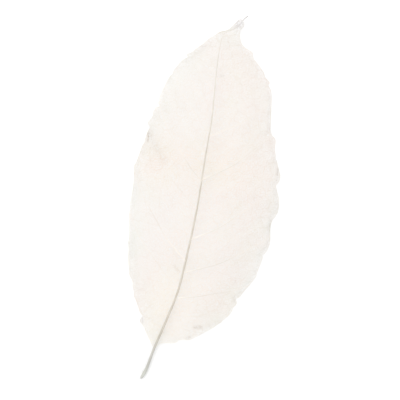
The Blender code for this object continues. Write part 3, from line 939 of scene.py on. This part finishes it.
def build_rib(finish):
    """Adds the midrib, which runs on as the stalk; the stalk's torn end is hollow."""
    rings = rib_rings()
    torn = TORN_DEPTH + TORN_SLANT * np.cos(RIB_TURNS)
    for size, count, start in TORN_WAVES:
        torn = torn + size * np.sin(count * RIB_TURNS + start)
    rings[0, :, 1] += torn
    rings[..., 2] = np.maximum(rings[..., 2], LOWEST_RIB)
    pit = rings[PIT_RING].mean(axis=0)
    recess = pit + PIT_SHARE * (rings[0] - rings[0].mean(axis=0))
    bottom = pit + (0, PIT_DEPTH, 0)
    ring = np.arange(RIB_SIDES)
    inner = len(rings) * RIB_SIDES
    faces = tube_sides(len(rings), RIB_SIDES, 0)
    faces += np.stack((inner + ring, inner + np.roll(ring, -1), np.roll(ring, -1), ring), -1).tolist()
    faces += fan(inner + ring, inner + RIB_SIDES, turned=True)
    faces += fan(inner - RIB_SIDES + ring, inner + RIB_SIDES + 1, turned=False)
    points = np.vstack((rings.reshape(-1, 3), recess, bottom, rings[-1].mean(axis=0)))
    mesh = bpy.data.meshes.new("midrib_and_stalk")
    mesh.from_pydata(points * MM, [], faces)
    add_piece("midrib_and_stalk", mesh, finish)


def side_vein_tube(side, vein):
    """The rings of one side vein, lying in the top of the net."""
    flat, share = evenly(VEIN_LINES[side][vein], VEIN_RING_STEP)
    sides = np.full(len(flat), side)
    puff = np.zeros(len(flat))
    normal = surface_normals(flat, sides, puff)
    radius = side_vein_half_width(side, vein, share)
    (slow, slow_turn), (quick, quick_turn) = VEIN_WAVES
    x, y = flat.T
    radius *= 1 + slow * np.sin(slow_turn * y + vein) + quick * np.sin(quick_turn * x)
    line = raised(flat, sides, puff) + normal * (VEIN_RAISE * radius)[:, None]
    return tube_rings(line, normal, np.repeat(radius[:, None], VEIN_SIDES, axis=1))


def vein_brown(side, vein, share):
    """How brown a side vein is at each share of its length, from 0 to 1."""
    depth = np.zeros(len(share))
    for place, start, end, strength in BROWN_VEINS[side]:
        if place == vein:
            fade = np.minimum(share - start, end - share) / BROWN_FADE
            depth = np.maximum(depth, strength * np.clip(0.5 + fade, 0, 1))
    return depth


def build_side_veins(finish):
    """Adds all side veins, as smooth tapering strands from the midrib to the margin."""
    points = []
    browns = []
    faces = []
    first = 0
    ring = np.arange(VEIN_SIDES)
    for side, vein in [(side, vein) for side in SIDES for vein in range(len(VEIN_LINES[side]))]:
        rings = side_vein_tube(side, vein)
        end = first + len(rings) * VEIN_SIDES
        points += [rings.reshape(-1, 3), rings[[0, -1]].mean(axis=1)]
        brown = vein_brown(side, vein, np.linspace(0, 1, len(rings)))
        browns += [np.repeat(brown, VEIN_SIDES), brown[[0, -1]]]
        faces += tube_sides(len(rings), VEIN_SIDES, first)
        faces += fan(first + ring, end, turned=True)
        faces += fan(end - VEIN_SIDES + ring, end + 1, turned=False)
        first = end + 2
    mesh = bpy.data.meshes.new("side_veins")
    mesh.from_pydata(np.vstack(points) * MM, [], faces)
    set_values(mesh, "brown", np.concatenate(browns))
    add_piece("side_veins", mesh, finish)


# --- Finishes ---

def new_material(name):
    """A node material: its tree and its Principled shader."""
    finish = bpy.data.materials.new(name)
    finish.use_nodes = True
    return finish, finish.node_tree, finish.node_tree.nodes["Principled BSDF"]


def set_inputs(node, inputs):
    """Gives inputs of a node what belongs there: a socket is linked, and a plain value is set."""
    for key, value in inputs.items():
        if isinstance(value, bpy.types.NodeSocket):
            node.id_data.links.new(value, node.inputs[key])
        else:
            node.inputs[key].default_value = value


def add_node(tree, kind, inputs, **settings):
    """Adds a node with its own settings and its inputs."""
    node = tree.nodes.new(kind)
    for key, value in settings.items():
        setattr(node, key, value)
    set_inputs(node, inputs)
    return node


def ramp_between(tree, factor, stops):
    """A colour ramp driven by a factor, through (place, colour) stops."""
    node = add_node(tree, "ShaderNodeValToRGB", {"Fac": factor})
    elements = node.color_ramp.elements
    for index, (place, colour) in enumerate(stops):
        stop = elements[index] if index < 2 else elements.new(place)
        stop.position = place
        stop.color = (*colour, 1)
    return node.outputs["Color"]


def own_space(tree):
    """Places in the leaf's own space, in metres."""
    return add_node(tree, "ShaderNodeTexCoord", {}).outputs["Object"]


def noise(tree, scale, detail=3, stretch=(1, 1, 1)):
    """Noise in the leaf's own space, in features of about 1 / scale metres."""
    mapping = add_node(tree, "ShaderNodeMapping", {"Vector": own_space(tree), "Scale": stretch})
    vector = mapping.outputs["Vector"]
    inputs = {"Vector": vector, "Scale": scale, "Detail": detail}
    return add_node(tree, "ShaderNodeTexNoise", inputs).outputs["Fac"]


def by_noise(tree, scale, stops):
    """A colour ramp driven by noise."""
    return ramp_between(tree, noise(tree, scale), stops)


def by_value(tree, name, stops):
    """A colour ramp driven by a named number of the mesh."""
    value = add_node(tree, "ShaderNodeAttribute", {}, attribute_name=name)
    return ramp_between(tree, value.outputs["Fac"], stops)


def by_place(tree, way, start, end, stops):
    """A colour ramp driven by how far along a way each point lies, in metres."""
    reach = add_node(tree, "ShaderNodeVectorMath", {0: own_space(tree), 1: way}, operation="DOT_PRODUCT")
    inputs = {"Value": reach.outputs["Value"], "From Min": start, "From Max": end}
    return ramp_between(tree, add_node(tree, "ShaderNodeMapRange", inputs).outputs["Result"], stops)


def multiply(tree, colour, *others):
    """The product of colours."""
    for other in others:
        inputs = {"Factor": 1, 6: colour, 7: other}
        mix = add_node(tree, "ShaderNodeMix", inputs, data_type="RGBA", blend_type="MULTIPLY")
        colour = mix.outputs[2]
    return colour


def uneven(tree, scale, low, high, stretch=(1, 1, 1)):
    """A number that noise varies between two others."""
    inputs = {"Value": noise(tree, scale, stretch=stretch), "To Min": low, "To Max": high}
    return add_node(tree, "ShaderNodeMapRange", inputs).outputs["Result"]


def relief(tree, height, distance):
    """Normals for a surface that a height raises by up to a distance."""
    return add_node(tree, "ShaderNodeBump", {"Height": height, "Distance": distance}).outputs["Normal"]


def net_finish():
    """Bleached leaf fibre: cream, warm in places and cooler at the rim, with painted light that makes it
    paler to the left and painted shade along folds and the margin.
    """
    finish, tree, shader = new_material("bleached_net")
    colour = multiply(
        tree,
        by_value(tree, "rank", NET_BY_RANK),
        # Painted light, paler and cooler towards the left.
        by_place(tree, PAINTED_LIGHT_WAY, PAINTED_LIGHT_START, PAINTED_LIGHT_END, NET_BY_PAINTED_LIGHT),
        by_place(tree, LENGTHWAYS, BLADE_BASE_Y * MM, BLADE_TIP_Y * MM, NET_BY_LENGTH),
        # The tint: stains, patches, and painted shade of folds, creases and the margin.
        add_node(tree, "ShaderNodeAttribute", {}, attribute_name="tint").outputs["Vector"],
        by_noise(tree, 45, NET_PATCHES),
        by_noise(tree, 120, NET_HUES),
        by_noise(tree, 900, NET_GRAINS))
    set_inputs(shader, {
        "Base Color": colour,
        "Roughness": uneven(tree, scale=300, low=0.5, high=0.8),
        "Normal": relief(tree, noise(tree, 5000, detail=4), distance=0.02 * MM),
        "Specular IOR Level": 0.3,
    })
    return finish


def rib_finish():
    """Dried midrib: greyer and darker towards the stalk, streaked lengthways by its fibres."""
    finish, tree, shader = new_material("dried_midrib")
    streak = noise(tree, 2500, detail=4, stretch=(1, 0.06, 1))
    colour = multiply(
        tree,
        by_place(tree, LENGTHWAYS, STALK_END_Y * MM, TIP_Y * MM, RIB_BY_LENGTH),
        ramp_between(tree, streak, RIB_STREAKS),
        by_noise(tree, 220, RIB_BLOTCHES))
    set_inputs(shader, {
        "Base Color": colour,
        "Roughness": uneven(tree, scale=600, low=0.45, high=0.75, stretch=(1, 0.1, 1)),
        "Normal": relief(tree, streak, distance=0.08 * MM),
        "Specular IOR Level": 0.35,
    })
    return finish


def side_vein_finish():
    """Bleached side veins: pale, faintly streaked, and brown along some stretches."""
    finish, tree, shader = new_material("bleached_veins")
    colour = multiply(
        tree,
        by_noise(tree, 60, SIDE_VEINS_BY_PATCH),
        by_noise(tree, 1500, NET_GRAINS),
        by_value(tree, "brown", [(0, (1, 1, 1)), (1, BROWN)]))
    set_inputs(shader, {
        "Base Color": colour,
        "Roughness": uneven(tree, scale=400, low=0.5, high=0.75),
        "Normal": relief(tree, noise(tree, 6000, detail=4), distance=0.03 * MM),
        "Specular IOR Level": 0.3,
    })
    return finish


# --- The stage ---

def floor():
    """Adds a plain white surface under the leaf."""
    half = FLOOR_SIZE / 2
    mesh = bpy.data.meshes.new("floor")
    mesh.from_pydata([(-half, -half, 0), (half, -half, 0), (half, half, 0), (-half, half, 0)], [],
                     [(0, 1, 2, 3)])
    finish, _, shader = new_material("white_floor")
    set_inputs(shader, {"Base Color": (*FLOOR_COLOUR, 1), "Roughness": 0.9, "Specular IOR Level": 0})
    mesh.materials.append(finish)
    piece = add_object("floor", mesh)


def soft_light():
    """Adds a wide soft light from the leaf's upper left, and an even white sky."""
    lamp = bpy.data.lights.new("soft_light", "AREA")
    lamp.size = LIGHT_SIZE
    lamp.energy = LIGHT_POWER
    light = add_object("soft_light", lamp)
    light.location = Vector(LIGHT_PLACE)
    light.rotation_mode = "QUATERNION"
    light.rotation_quaternion = light.location.to_track_quat("Z", "Y")
    world = bpy.data.worlds.new("sky")
    world.use_nodes = True
    sky = world.node_tree.nodes["Background"]
    set_inputs(sky, {"Color": (*SKY_COLOUR, 1), "Strength": SKY_STRENGTH})
    bpy.context.scene.world = world
    bpy.context.scene.view_settings.view_transform = "Standard"


def camera():
    """Adds a camera that looks straight down, turned so that the leaf leans to the right."""
    lens = bpy.data.cameras.new("camera")
    lens.lens = LENS
    lens.sensor_width = SENSOR_WIDTH
    height = VIEW_WIDTH * LENS / SENSOR_WIDTH
    lens.clip_start = height / 10
    lens.clip_end = height * 10
    eye = add_object("camera", lens)
    eye.location = (*VIEW_CENTRE, height)
    eye.rotation_euler = (0, 0, math.radians(VIEW_TURN))
    bpy.context.scene.camera = eye


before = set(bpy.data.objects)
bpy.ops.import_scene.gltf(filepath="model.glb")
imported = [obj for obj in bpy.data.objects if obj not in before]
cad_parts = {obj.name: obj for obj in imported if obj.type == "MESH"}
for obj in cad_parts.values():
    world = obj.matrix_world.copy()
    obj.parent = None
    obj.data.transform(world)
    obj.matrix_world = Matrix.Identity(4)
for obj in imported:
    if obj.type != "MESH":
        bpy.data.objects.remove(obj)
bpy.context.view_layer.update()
build_net(net_finish())
build_side_veins(side_vein_finish())
build_rib(rib_finish())
floor()
soft_light()
camera()
